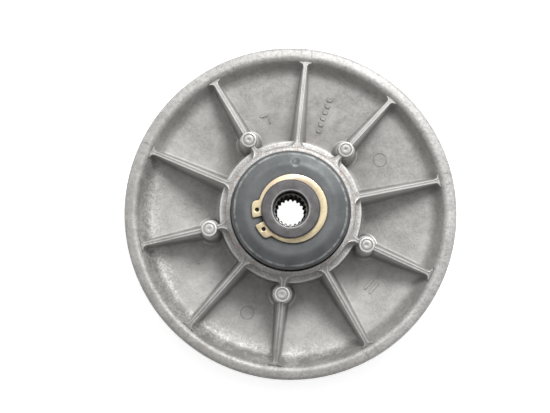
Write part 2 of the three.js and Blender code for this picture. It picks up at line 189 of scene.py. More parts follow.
def capped_faces(rows, columns):
    """Quads of a grid whose rows are loops, with one polygon over its first row and one over its last."""
    sides = wrapped_faces(rows, columns)[:-columns]
    return sides + [tuple(range(columns))[::-1], tuple(range((rows - 1) * columns, rows * columns))]


def turn_outwards(made):
    """Flips the mesh's faces if they enclose a negative volume."""
    mesh = made.data
    mesh.calc_loop_triangles()
    at = values(mesh.vertices, "co").astype(float)
    a, b, c = [at[corner] for corner in values(mesh.loop_triangles, "vertices").T]
    if np.einsum("ij,ij->i", a, np.cross(b, c)).sum() < 0:
        mesh.flip_normals()
    return made


def circle(count):
    """Evenly spaced angles round a full turn, in radians."""
    return np.arange(count) * 2 * math.pi / count


def on_circles(radii, angles, heights):
    """Points as rows of x, y and z, from radii, angles and heights that fit together as arrays."""
    at = np.stack(np.broadcast_arrays(radii * np.cos(angles), radii * np.sin(angles), heights), axis=-1)
    return at.reshape(-1, 3)


def lathe(name, outline, segments=192):
    """A ring turned about Z from a closed outline that stays off the axis."""
    at = on_circles(outline[:, 0:1], circle(segments), outline[:, 1:2])
    return turn_outwards(make_object(name, at, wrapped_faces(len(outline), segments)))


def spindle(name, outline, segments=64):
    """A solid turned about Z from an open outline whose first and last points are on the axis."""
    inner = np.array(outline, float)[1:-1]
    at = on_circles(inner[:, 0:1], circle(segments), inner[:, 1:2])
    poles = [[0, 0, outline[0][1]], [0, 0, outline[-1][1]]]
    first, last = len(at), len(at) + 1
    top_row = (len(inner) - 1) * segments
    faces = []
    for k in range(segments):
        right = (k + 1) % segments
        faces.append((first, right, k))
        faces.append((last, top_row + k, top_row + right))
        for j in range(len(inner) - 1):
            a, b = j * segments, (j + 1) * segments
            faces.append((a + k, a + right, b + right, b + k))
    return turn_outwards(make_object(name, np.vstack([at, poles]), faces))


def place(made, turn=0.0, shift=(0, 0, 0), tilt=None):
    """Turns a mesh by an optional tilt, moves it, then turns it about the axis (degrees)."""
    matrix = Matrix.Rotation(math.radians(turn), 4, "Z") @ Matrix.Translation(Vector(shift) * MM)
    made.data.transform(matrix @ tilt if tilt else matrix)
    return made


def combine(made, others, operation):
    """Joins or cuts a mesh with others, which are then deleted."""
    for other in others:
        modifier = made.modifiers.new("combine", "BOOLEAN")
        modifier.object = other
        modifier.operation = operation
        modifier.solver = "MANIFOLD"
    mesh = applied_mesh(made)
    made.modifiers.clear()
    made.data = mesh
    for other in others:
        bpy.data.objects.remove(other)
    return made


# ---- ribbed sheaves

RIB_DRAFT = 0.10  # how far a rib's side leans for each millimetre of its height
CREST_DIP = 0.35  # hollow along the middle of a rib's crest
RIB_EDGE = 0.45  # rounding of the crest's edges
RIB_FILLET = 2.0  # rounding at the rib's foot
HUB_FLARE = 4.5  # rounding where a rib meets the hub wall
RIM_FLARE = 3.2  # rounding where a rib meets the rim
BAY_COLUMNS = 13  # mesh columns between two ribs
EDGE_STEPS, FILLET_STEPS = 3, 5
FLANK_FOOT_RADIUS = SHEAVE_RADIUS - 13.4  # where the rim's inner flank meets the web
CREST_END_RADIUS = SHEAVE_RADIUS - 8.5
CREST_END_DROP = 1.0  # a rib ends this far below the rim's top


def rise(r):
    """Height of the belt face above its inner edge."""
    return np.maximum(np.asarray(r, float) - FACE_INNER_RADIUS, 0) * FACE_SLOPE


def web_top(r):
    """Height of the ribbed side's floor above the face's inner edge. The web thins towards the rim."""
    share = (r - COLLAR_RADIUS) / (FLANK_FOOT_RADIUS - COLLAR_RADIUS)
    return float(rise(r)) + WEB + 1.3 - 2.3 * share


MOVABLE_RIM_TOP = float(rise(SHEAVE_RADIUS)) + 14.0  # above the face's inner edge
FIXED_RIM_TOP = float(rise(SHEAVE_RADIUS)) + 11.0
FLOOR_SLOPE = (web_top(90) - web_top(60)) / 30
RIM_WIDTH = 7.8
RIM_FALL = 0.8  # the rim's top slopes down this much to its outer edge


def quarter(distance, radius):
    """Height of a concave quarter-round of a given radius at a distance from its wall."""
    share = np.clip(1 - distance / radius, 0, 1)
    return radius * (1 - np.sqrt(1 - share ** 2))


def rib_section(height, half_width):
    """Distances from a rib's centre plane and heights above its foot, from the crest outwards."""
    full = RIB_EDGE + RIB_FILLET
    scale = np.clip(height / full, 0, 1)
    edge, fillet = RIB_EDGE * scale, RIB_FILLET * scale
    side = np.clip(height - full, 0, None) * RIB_DRAFT
    dip = CREST_DIP * scale
    across, up = [0 * height, (half_width - edge) * 0.7], [height - dip, height - dip * 0.6]
    for step in range(EDGE_STEPS + 1):
        angle = step / EDGE_STEPS * math.pi / 2
        across.append(half_width - edge + edge * math.sin(angle))
        up.append(height - edge + edge * math.cos(angle))
    for step in range(FILLET_STEPS + 1):
        angle = step / FILLET_STEPS * math.pi / 2
        across.append(half_width + side + fillet * (1 - math.cos(angle)))
        up.append(fillet * (1 - math.sin(angle)))
    for k in range(1, len(across)):
        across[k] = np.maximum(across[k], across[k - 1] + 0.04)
    return np.stack(across, axis=-1), np.stack(up, axis=-1)


def ribbed_ring(name, outline, crest, wall_radius, ragged=None):
    """A turned ring with radial ribs raised wherever crest(r) is above its upper side.

    The grid's columns follow the ribs' edges, so the ribs stay crisp. The first rib points along +Y.
    """
    r, z = outline[:, 0], outline[:, 1]
    upper = z > rise(r) + WEB * 0.6
    height = np.where(upper, np.clip(crest(r) - z, 0, None), 0)
    rim_meets = r[height > 0.05].max()
    flare = quarter(np.clip(r - wall_radius, 0, None), HUB_FLARE)
    flare += quarter(np.clip(rim_meets - r, 0, None), RIM_FLARE)
    flare = np.where(height > 0, flare, 0)
    across, up = rib_section(height, RIB_HALF_WIDTH + flare)
    sector = 2 * math.pi / RIB_COUNT
    near = np.arcsin(np.clip(across / r[:, None], 0, 1))
    share = np.arange(1, BAY_COLUMNS + 1) / (BAY_COLUMNS + 1)
    bay = near[:, -1:] + (sector - 2 * near[:, -1:]) * share
    angle = np.hstack([near, bay, sector - near[:, :0:-1]])
    bumps = np.hstack([up, np.zeros_like(bay), up[:, :0:-1]])
    angles = np.hstack([angle + i * sector for i in range(RIB_COUNT)]) + math.pi / 2
    heights = z[:, None] + np.tile(bumps, RIB_COUNT)
    radii = np.repeat(r[:, None], angles.shape[1], axis=1)
    if ragged:
        radii, heights = ragged(radii, heights, angles)
    at = on_circles(radii, angles, heights)
    return turn_outwards(make_object(name, at, wrapped_faces(*angles.shape)))


def straight_crest(inner, outer):
    """Crest height over radius: a straight line between (r, z) points inner and outer."""
    (r0, z0), (r1, z1) = inner, outer

    def crest(r):
        line = z0 + (z1 - z0) * (r - r0) / (r1 - r0)
        return np.where((r > r0) & (r < r1), line, -1e3)

    return crest


def boss(top, step):
    """The stepped round pad on a rib, along +X: a wide foot up to a step, then a lipped post."""
    floor = web_top(BOSS_CIRCLE_RADIUS)
    wide = BOSS_RADIUS + 1.3
    foot = wide + (step - floor) * RIB_DRAFT / 3
    fillet = 1.8
    outline = [(0, floor - 3), (foot + fillet + 0.5, floor - 3), (foot + fillet + 0.4, floor - 0.3)]
    for i in range(6):
        angle = i / 5 * math.pi / 2
        outline.append((foot + fillet * (1 - math.sin(angle)), floor + fillet * (1 - math.cos(angle))))
    outline += [(wide, step - 0.8), (wide - 0.25, step - 0.2), (wide - 0.8, step)]
    outline += [(BOSS_RADIUS + 0.9, step + 0.05), (BOSS_RADIUS + 0.4, step + 0.5)]
    outline += [(BOSS_RADIUS, top - 0.5), (BOSS_RADIUS - 0.15, top - 0.15), (BOSS_RADIUS - 0.5, top)]
    outline += [(BOSS_RADIUS - 1.0, top), (BOSS_RADIUS - 1.25, top - 0.3), (BOSS_RADIUS - 1.55, top - 0.42)]
    outline += [(BOSS_RADIUS - 1.85, top - 0.3), (BOSS_RADIUS - 2.2, top - 0.12), (0.8, top - 0.12)]
    outline += [(0.5, top - 0.3), (0, top - 0.4)]
    made = spindle("boss", outline, 72)
    mark_edges(made)
    place(made, shift=(BOSS_CIRCLE_RADIUS, 0, 0))
    for vertex in made.data.vertices:
        sunk = max(0.0, 1 - max(0.0, vertex.co.z / MM - floor) / 6)
        radius = math.hypot(vertex.co.x, vertex.co.y) / MM
        vertex.co.z += (radius - BOSS_CIRCLE_RADIUS) * FACE_SLOPE * sunk * MM
    return made


def at_ribs(make, first, step):
    """Copies of a part made along +X, on every step-th rib counted from first."""
    pitch = 360 / RIB_COUNT
    return [place(make(), turn=90 + pitch * i) for i in range(first, RIB_COUNT + first, step)]


def witness_ring(radius, turn, at, height, slope):
    """Cutter for a shallow round groove, such as an ejector pin leaves, at a radius on the casting."""
    half, depth = 0.25, 0.35
    groove = lathe("witness", rounded([
        (radius - half, -depth, 0), (radius + half, -depth, 0), (radius + 0.6, 1, 0), (radius - 0.6, 1, 0),
    ]), 48)
    lean = Matrix.Rotation(-math.atan(slope), 4, "Y")
    return place(groove, turn=turn, shift=(at, 0, height), tilt=lean)


def bar(length, width, turn, at, height, spin, slope):
    """A short raised bar on the casting's floor, square-ended, at a radius and a direction of its own."""
    x, y = length / 2, width / 2
    corners = [(-x, -y), (x, -y), (x, y), (-x, y)]
    vertices = [(a, b, -0.6) for a, b in corners] + [(a * 0.94, b * 0.7, 1.0) for a, b in corners]
    made = turn_outwards(make_object("bar", vertices, capped_faces(2, 4)))
    lean = Matrix.Rotation(-math.atan(slope), 4, "Y") @ Matrix.Rotation(math.radians(spin), 4, "Z")
    return place(made, turn=turn, shift=(at, 0, height), tilt=lean)


def ripple(angles, seed, waves):
    """A smooth random function of angle that repeats after a full turn, between about -1 and 1."""
    random = np.random.default_rng(seed)
    total = 0 * angles
    for wave in waves:
        total = total + np.sin(wave * angles + random.uniform(0, 2 * math.pi)) * random.uniform(0.5, 1)
    return total / len(waves) ** 0.5


def rim_and_web(inner_radius, inner_height, rim_top):
    """Corners of a sheave from the belt face's inner edge out round the rim and in over the web."""
    return [
        (FACE_INNER_RADIUS, 0, 0.8),
        (SHEAVE_RADIUS, float(rise(SHEAVE_RADIUS)), 1.2),
        (SHEAVE_RADIUS, rim_top - RIM_FALL, 2.6),
        (SHEAVE_RADIUS - RIM_WIDTH, rim_top, 4.0),
        (FLANK_FOOT_RADIUS, web_top(FLANK_FOOT_RADIUS), 8.0),
        (inner_radius, inner_height, 3.0),
    ]


def movable_sheave():
    base = low("movable_sheave")
    wall_top = high("movable_sheave") - base
    collar_top = wall_top - COLLAR_DROP
    bore = reach("cam_sleeve") + 0.1
    foot = COLLAR_RADIUS + 0.9
    corners = [(bore, 0, 0.5)] + rim_and_web(foot, web_top(foot), MOVABLE_RIM_TOP) + [
        (COLLAR_RADIUS, collar_top - 0.5, 1.0),
        (HUB_WALL_RADIUS + 0.4, collar_top + 0.3, 1.4),
        (HUB_WALL_RADIUS, wall_top - 0.3, 1.7),
        (WELL_RADIUS, wall_top, 0.5),
        (WELL_RADIUS, 8.0, 1.5),
        (bore, 8.0, 0.4),
    ]
    outline = with_steps(rounded(corners), 5.0)
    crest_end = (CREST_END_RADIUS, MOVABLE_RIM_TOP - CREST_END_DROP)
    crest = straight_crest((HUB_WALL_RADIUS - 1, wall_top - 0.5), crest_end)

    def flash(radii, heights, angles):
        """The ragged edge that the die's parting line leaves round the collar."""
        near = np.exp(-((radii - COLLAR_RADIUS) / 0.9) ** 2 - ((heights - collar_top) / 0.9) ** 2)
        outwards = 0.1 + 0.28 * ripple(angles, 3, (23, 37, 41, 59, 83, 97, 131))
        upwards = 0.22 * ripple(angles, 4, (29, 47, 71, 113))
        return radii + near * outwards, heights + near * upwards

    made = ribbed_ring("movable_sheave_casting", outline, crest, HUB_WALL_RADIUS, flash)
    mark_edges(made)
    combine(made, at_ribs(lambda: boss(wall_top - 2, wall_top - 11), 1, 2), "UNION")
    place_on_rim = (SHEAVE_RADIUS - RIM_WIDTH / 2, MOVABLE_RIM_TOP - RIM_FALL / 2, -RIM_FALL / RIM_WIDTH)
    rings = at_ribs(lambda: witness_ring(3.6, 0, *place_on_rim), 0, 2)
    for turn, at in ((36.8, 68.5), (252.3, 70.5)):
        rings.append(witness_ring(4.3, turn, at, web_top(at), FLOOR_SLOPE))
    combine(made, rings, "DIFFERENCE")
    places = [(9, 1.5, -35.9, 69, 90), (9, 1.5, -35.9, 73, 90)]
    places += [(5, 1.5, 110.8, 67, 90), (3.4, 1.5, 108, 63, 0)]
    places += [(1.6, 4, 76.8, 58 + 4.2 * i, 0) for i in range(6)]
    marks = []
    for length, width, turn, at, spin in places:
        marks.append(bar(length, width, turn, at, web_top(at), spin, FLOOR_SLOPE))
    combine(made, marks, "UNION")
    return place(made, shift=(0, 0, base))


def fixed_sheave():
    """Drawn face down like the movable sheave, then turned over."""
    face = high("fixed_sheave")
    wall_top = face - 4.0
    plate = face - FLANGE_TOP - 0.1
    foot = HUB_WALL_RADIUS + 1.2
    bore = reach("cam_sleeve") + 2.0
    corners = [(bore, 0, 0.6)] + rim_and_web(foot, web_top(foot), FIXED_RIM_TOP) + [
        (HUB_WALL_RADIUS, wall_top, 0.9),
        (WELL_RADIUS, wall_top, 0.7),
        (WELL_RADIUS, plate, 0.8),
        (bore, plate, 0.5),
    ]
    outline = with_steps(rounded(corners), 5.0)
    crest_end = (CREST_END_RADIUS, FIXED_RIM_TOP - CREST_END_DROP)
    crest = straight_crest((HUB_WALL_RADIUS - 1, wall_top - 0.4), crest_end)
    made = ribbed_ring("fixed_sheave_casting", outline, crest, HUB_WALL_RADIUS)
    mark_edges(made)
    combine(made, at_ribs(lambda: boss(wall_top - 0.3, wall_top - 5), 1, 2), "UNION")
    place(made, shift=(0, 0, face), tilt=Matrix.Rotation(math.pi, 4, "X"))
    return combine(made, [hub_rivet(i, "hole", 0.08, 1.0) for i in range(RIVET_COUNT)], "DIFFERENCE")


# ---- hub, rivets and cam

SPLINE_TEETH = 19
SPLINE_TIP_RADIUS = 8.6
SPLINE_ROOT_RADIUS = 9.75
SPLINE_BOTTOM, SPLINE_TOP = 34.0, 85.0
ENTRY_RADIUS, MOUTH_RADIUS = 12.5, 10.6  # plain bores below and above the splines
GROOVE_RADIUS = 17.0  # under the circlip
PIN_RADIUS = 4.0
SLOT_HALF_WIDTH = ROLLER_RADIUS + 0.2


def hub_rivet(index, name, grow=0.0, proud=0.0):
    """A rivet with a domed head under the flange and a countersunk head at the belt face."""
    under, top = FLANGE_BOTTOM - 0.1, high("hub_rivet_1") + proud
    dome = [(4.5 * math.sin(a), under - 2.4 * math.cos(a)) for a in np.linspace(0, math.pi / 2, 9)]
    shank, head = 2.75 + grow, 4.2 + grow
    outline = dome + [(4.4, under), (shank, under), (shank, FLANGE_TOP + 10 - grow)]
    outline += [(head, FLANGE_TOP + 11.5), (head, top - 0.1), (head - 0.15, top), (0, top)]
    turn = 360 / RIVET_COUNT * index
    return place(spindle(name, outline, 48), turn=turn, shift=(RIVET_CIRCLE_RADIUS, 0, 0))


def splined_hub():
    """Flanged sleeve whose bore carries the splines: one grid, with the teeth as a wave in its radius."""
    groove_bottom, groove_top = CUP_TOP + 0.05, CUP_TOP + 2.0
    body = rounded([
        (ENTRY_RADIUS, 1.2, 0.2), (13.5, 0, 0.2), (19.0, 0, 0.2), (20.0, 1.0, 0.3),
        (20.0, FLANGE_BOTTOM, 0.8), (FLANGE_RADIUS, FLANGE_BOTTOM, 0.7),
        (FLANGE_RADIUS, FLANGE_TOP, 0.7), (HUB_RADIUS, FLANGE_TOP, 0.8),
        (HUB_RADIUS, groove_bottom, 0.08), (GROOVE_RADIUS, groove_bottom, 0.1),
        (GROOVE_RADIUS, groove_top, 0.1), (HUB_RADIUS, groove_top, 0.15),
        (HUB_RADIUS, HUB_TOP - 0.9, 0.25), (HUB_RADIUS - 0.9, HUB_TOP, 0.25),
        (MOUTH_RADIUS + 0.8, HUB_TOP, 0.2), (MOUTH_RADIUS, HUB_TOP - 0.8, 0.2),
        (MOUTH_RADIUS, SPLINE_TOP, 0.3),
    ])
    middle = (SPLINE_TIP_RADIUS + SPLINE_ROOT_RADIUS) / 2
    teeth = [(9.95, SPLINE_TOP, 0), (9.5, 84.7, 0.4), (middle, 84.1, 0.9), (middle, 83.6, 1)]
    teeth += [(middle, z, 1) for z in np.linspace(79, 40, 8)]
    teeth += [(middle, 35.2, 1), (middle, 34.7, 0.9)]
    teeth += [(10.0, SPLINE_BOTTOM, 0), (ENTRY_RADIUS, SPLINE_BOTTOM, 0)]
    rows = np.vstack([np.column_stack([body, np.zeros(len(body))]), teeth])
    angles = circle(SPLINE_TEETH * 16)
    wave = np.clip(1.9 * np.cos(SPLINE_TEETH * angles), -1, 1)
    wave = wave * (SPLINE_ROOT_RADIUS - SPLINE_TIP_RADIUS) / 2
    at = on_circles(rows[:, 0:1] + rows[:, 2:3] * wave, angles, rows[:, 1:2])
    made = turn_outwards(make_object("hub_with_splines", at, wrapped_faces(len(rows), len(angles))))
    holes = [hub_rivet(i, "hole", 0.08, 1.0) for i in range(RIVET_COUNT)]
    holes += [radial(rod("hole", PIN_RADIUS + 0.08, 0, 18, 48), 120 * i, 11.9) for i in range(CAM_COUNT)]
    return combine(made, holes, "DIFFERENCE")


def rod(name, radius, start, length, segments=64, chamfer=0.0):
    """A plain pin along Z with chamfered ends."""
    c = max(chamfer, 1e-3)
    outline = [(0, start), (radius - c, start), (radius, start + c), (radius, start + length - c)]
    return spindle(name, outline + [(radius - c, start + length), (0, start + length)], segments)


def radial(made, turn, distance, height=None):
    """Lays a part made along Z down so that it points away from the axis, at the cam pins' height."""
    height = CAM_PIN_Z if height is None else height
    return place(made, turn=turn, shift=(distance, 0, height), tilt=Matrix.Rotation(math.pi / 2, 4, "Y"))


def cam_pin(index):
    return radial(rod(f"cam_pin_{index + 1}_ground", PIN_RADIUS, 0, 11.3, 64, 0.4), 120 * index, 12.2)


def cam_roller(index):
    bore, length = PIN_RADIUS + 0.09, 4.7
    outline = rounded([
        (bore, 0, 0.3), (ROLLER_RADIUS, 0, 0.5), (ROLLER_RADIUS, length, 0.5), (bore, length, 0.3),
    ], 3)
    return radial(lathe(f"cam_roller_{index + 1}_ground", outline, 72), 120 * index, 18.5)


def cam_slot(index):
    """Cutter for one helical slot: a long round-ended block bent round the axis."""
    half = SLOT_HALF_WIDTH
    arc = np.linspace(0, math.pi, 17)
    steps = np.linspace(0, TRAVEL, 18)[1:-1]
    loop = np.vstack([
        np.column_stack([half * np.cos(arc), half * np.sin(arc), 0 * arc]),
        np.column_stack([0 * steps - half, 0 * steps, steps]),
        np.column_stack([-half * np.cos(arc), -half * np.sin(arc), 0 * arc + TRAVEL]),
        np.column_stack([0 * steps + half, 0 * steps, steps[::-1]]),
    ])
    straight = (loop[:, 1] == 0)
    radii = np.linspace(reach("cam_sleeve") - 6, reach("cam_sleeve") + 1.5, 6)
    rows = []
    for radius in radii:
        lean = math.atan(radius * CAM_TURN / TRAVEL)
        across = np.where(straight, loop[:, 0] * math.cos(lean), loop[:, 0])
        up = np.where(straight, -loop[:, 0] * math.sin(lean), loop[:, 1])
        angle = across / radius - loop[:, 2] * CAM_TURN / TRAVEL
        rows.append(on_circles(radius, angle, CAM_PIN_Z - loop[:, 2] + up))
    made = turn_outwards(make_object("slot", np.vstack(rows), capped_faces(len(radii), len(loop))))
    return place(made, turn=120 * index)


def cam_sleeve():
    outer, bottom, top = reach("cam_sleeve"), low("cam_sleeve"), high("cam_sleeve")
    outline = rounded([
        (20.0, bottom, 0.4), (outer, bottom, 0.4), (outer, top - 5.6, 0.2), (outer - 1.2, top - 5.6, 0.2),
        (outer - 1.2, top - 3.4, 0.2), (outer, top - 3.4, 0.2), (outer, top, 0.4), (20.0, top, 0.4),
    ], 3)
    made = lathe("cam_sleeve_with_slots", outline, 192)
    cutters = [cam_slot(i) for i in range(CAM_COUNT)]
    for turn, height in ((0, CAM_PIN_Z), (-math.degrees(CAM_TURN), CAM_PIN_Z - TRAVEL)):
        for i in range(CAM_COUNT):
            cutters.append(radial(rod("slot", SLOT_HALF_WIDTH, -0.5, 9, 64), 120 * i + turn, 18, height))
    return combine(made, cutters, "DIFFERENCE")


# ---- bearings, seals, spring, cup and circlip

SLEEVE_BORE = (HUB_RADIUS + 0.09, 19.9)


def tube(name, node, inner, outer, edge=0.3):
    """A plain turned ring with the heights of its CAD node."""
    corners = [(inner, low(node)), (outer, low(node)), (outer, high(node)), (inner, high(node))]
    return lathe(name, rounded([(r, z, edge) for r, z in corners], 3))


def grease_seal(name, node, up):
    """A rubber ring whose lip runs on the hub; up is 1 where the lip points up, else -1."""
    lip, outer = SLEEVE_BORE
    base = low(node) if up > 0 else high(node)
    corners = [(lip + 0.5, 0, 0.1), (outer, 0, 0.15), (outer, 2.6, 0.2), (lip + 1.3, 2.2, 0.1),
               (lip + 0.95, 1.3, 0.15), (lip + 0.25, 2.4, 0.05), (lip, 2.1, 0.05)]
    return lathe(name, rounded([(r, base + up * z, e) for r, z, e in corners], 3))


def o_ring(name, node, thickness):
    """A round-section ring that fills its CAD node's height."""
    centre = np.array([reach(node) - thickness, (low(node) + high(node)) / 2])
    angles = circle(20)
    return lathe(name, centre + thickness * np.column_stack([np.cos(angles), np.sin(angles)]))


def seal_collar():
    bottom, top, flange = low("seal_collar"), high("seal_collar"), reach("seal_collar")
    return lathe("seal_collar_pressed", rounded([
        (25.3, bottom, 0.1), (flange, bottom, 0.6), (flange, bottom + 1.8, 0.6), (25.8, bottom + 1.8, 0.8),
        (25.8, top, 0.3), (24.3, top, 0.3), (24.3, bottom + 1.6, 0.2), (25.3, bottom + 0.9, 0.1),
    ], 4))


def thrust_washer():
    return tube("thrust_washer_moulded", "thrust_washer", 26.2, reach("thrust_washer"), 0.5)


def compression_spring():
    """Round wire wound with a closed coil at each end, both ends ground flat."""
    bottom, top = low("compression_spring"), high("compression_spring")
    wire, mean, coils, sides, steps = 2.3, 29.3, 5.5, 18, 48
    count = int(coils * steps)
    t = np.linspace(0, 1, count + 1)
    closed, closed_rise = 1 / coils, 2 * wire + 0.15
    start, end = bottom + wire * 0.4, top - wire * 0.4
    share = np.clip((t - closed) / (1 - 2 * closed), 0, 1)
    turns = (np.minimum(t, closed) + np.maximum(t - 1 + closed, 0)) / closed
    z = start + turns * closed_rise + share * (end - start - 2 * closed_rise)
    angle = t * coils * 2 * math.pi
    around = circle(sides)
    heights = np.clip(z[:, None] + wire * np.sin(around), bottom, top)
    at = on_circles(mean + wire * np.cos(around), angle[:, None], heights)
    return turn_outwards(make_object("compression_spring_wire", at, capped_faces(count + 1, sides)))


DIMPLE_RADIUS = 29.6
DIMPLE_WIDTH = 6.0
DIMPLE_DEPTH = 1.0


def spring_cup():
    """A pressed cup with a small locating dimple in its flat top."""
    outer, bottom = reach("spring_cup"), low("spring_cup")
    inner = outer - CUP_SHEET
    outline = rounded([
        (HUB_RADIUS + 0.3, CUP_TOP - CUP_SHEET, 0.3), (29.5, CUP_TOP - CUP_SHEET, 3.0),
        (33.7, CUP_TOP - 3.6, 0.8), (inner, CUP_TOP - 10, 0.8), (inner, bottom, 0.4),
        (outer, bottom, 0.4), (outer, CUP_TOP - 9, 1.5), (34.9, CUP_TOP - 2.6, 1.2),
        (28.5, CUP_TOP, 9.0), (HUB_RADIUS + 0.3, CUP_TOP, 0.3),
    ], 7)
    made = lathe("spring_cup_pressed", with_steps(outline, 1.4), 288)
    for vertex in made.data.vertices:
        apart = math.hypot(vertex.co.x / MM, vertex.co.y / MM - DIMPLE_RADIUS)
        if vertex.co.z / MM > CUP_TOP - 5 and apart < DIMPLE_WIDTH / 2:
            share = 0.5 + 0.5 * math.cos(2 * math.pi * apart / DIMPLE_WIDTH)
            vertex.co.z -= DIMPLE_DEPTH * share ** 0.7 * MM
    return made


def circlip():
    """A spring-steel ring that thickens away from its gap, with a drilled lug on each side of the gap."""
    inner, outer, offset = 17.05, 21.0, 1.35
    gap, lug_end, ring_end, lug_radius, eye = 0.1, 0.55, 0.66, 23.7, 1.25

    def outside(angle):
        return -offset * math.cos(angle) + math.sqrt(outer ** 2 - (offset * math.sin(angle)) ** 2)

    def polar(radius, angle):
        return radius * math.cos(angle), radius * math.sin(angle)

    edge = [polar(lug_radius - 0.5, gap), polar(lug_radius - 0.1, gap + 0.02)]
    edge += [polar(lug_radius, a) for a in np.linspace(gap + 0.05, lug_end - 0.1, 8)]
    edge += [polar(lug_radius - 0.25, lug_end - 0.05), polar(lug_radius - 0.8, lug_end - 0.01)]
    edge += [polar(lug_radius - 1.7, lug_end + 0.02), polar(outside(ring_end) + 0.25, lug_end + 0.06)]
    half = edge + [polar(outside(a), a) for a in np.linspace(ring_end, math.pi, 60)]
    mirrored = [(x, -y) for x, y in reversed(half[:-1])]
    bore = [polar(inner, a) for a in np.linspace(2 * math.pi - gap - 0.03, gap + 0.03, 90)]
    corner = polar(inner + 0.4, gap)
    loops = [half + mirrored + [(corner[0], -corner[1])] + bore + [corner]]
    for side in (1, -1):
        x, y = polar(20.5, side * 0.31)
        loops.append([(x + eye * math.cos(a), y + eye * math.sin(a)) for a in circle(32)])
    return plate("circlip_plated", loops, low("circlip"), high("circlip"), 0.18)


def plate(name, loops, bottom, top, edge):
    """A closed flat plate with rounded edges from loops of (x, y). Loops after the first are holes."""
    curve = bpy.data.curves.new(name, "CURVE")
    curve.dimensions = "2D"
    curve.fill_mode = "BOTH"
    curve.extrude = ((top - bottom) / 2 - edge) * MM
    curve.bevel_depth = edge * MM
    curve.offset = -edge * MM
    curve.bevel_resolution = 2
    for loop in loops:
        spline = curve.splines.new("POLY")
        spline.points.add(len(loop) - 1)
        spline.use_cyclic_u = True
        for point, (x, y) in zip(spline.points, loop):
            point.co = (x * MM, y * MM, 0, 1)
    drawn = add(name, curve)
    mesh = applied_mesh(drawn)
    bpy.data.objects.remove(drawn)
    work = bmesh.new()
    work.from_mesh(mesh)
    bmesh.ops.remove_doubles(work, verts=work.verts, dist=1e-7)
    bmesh.ops.recalc_face_normals(work, faces=work.faces)
    work.to_mesh(mesh)
    work.free()
    return place(add(name, mesh), shift=(0, 0, (bottom + top) / 2))


# ---- materials

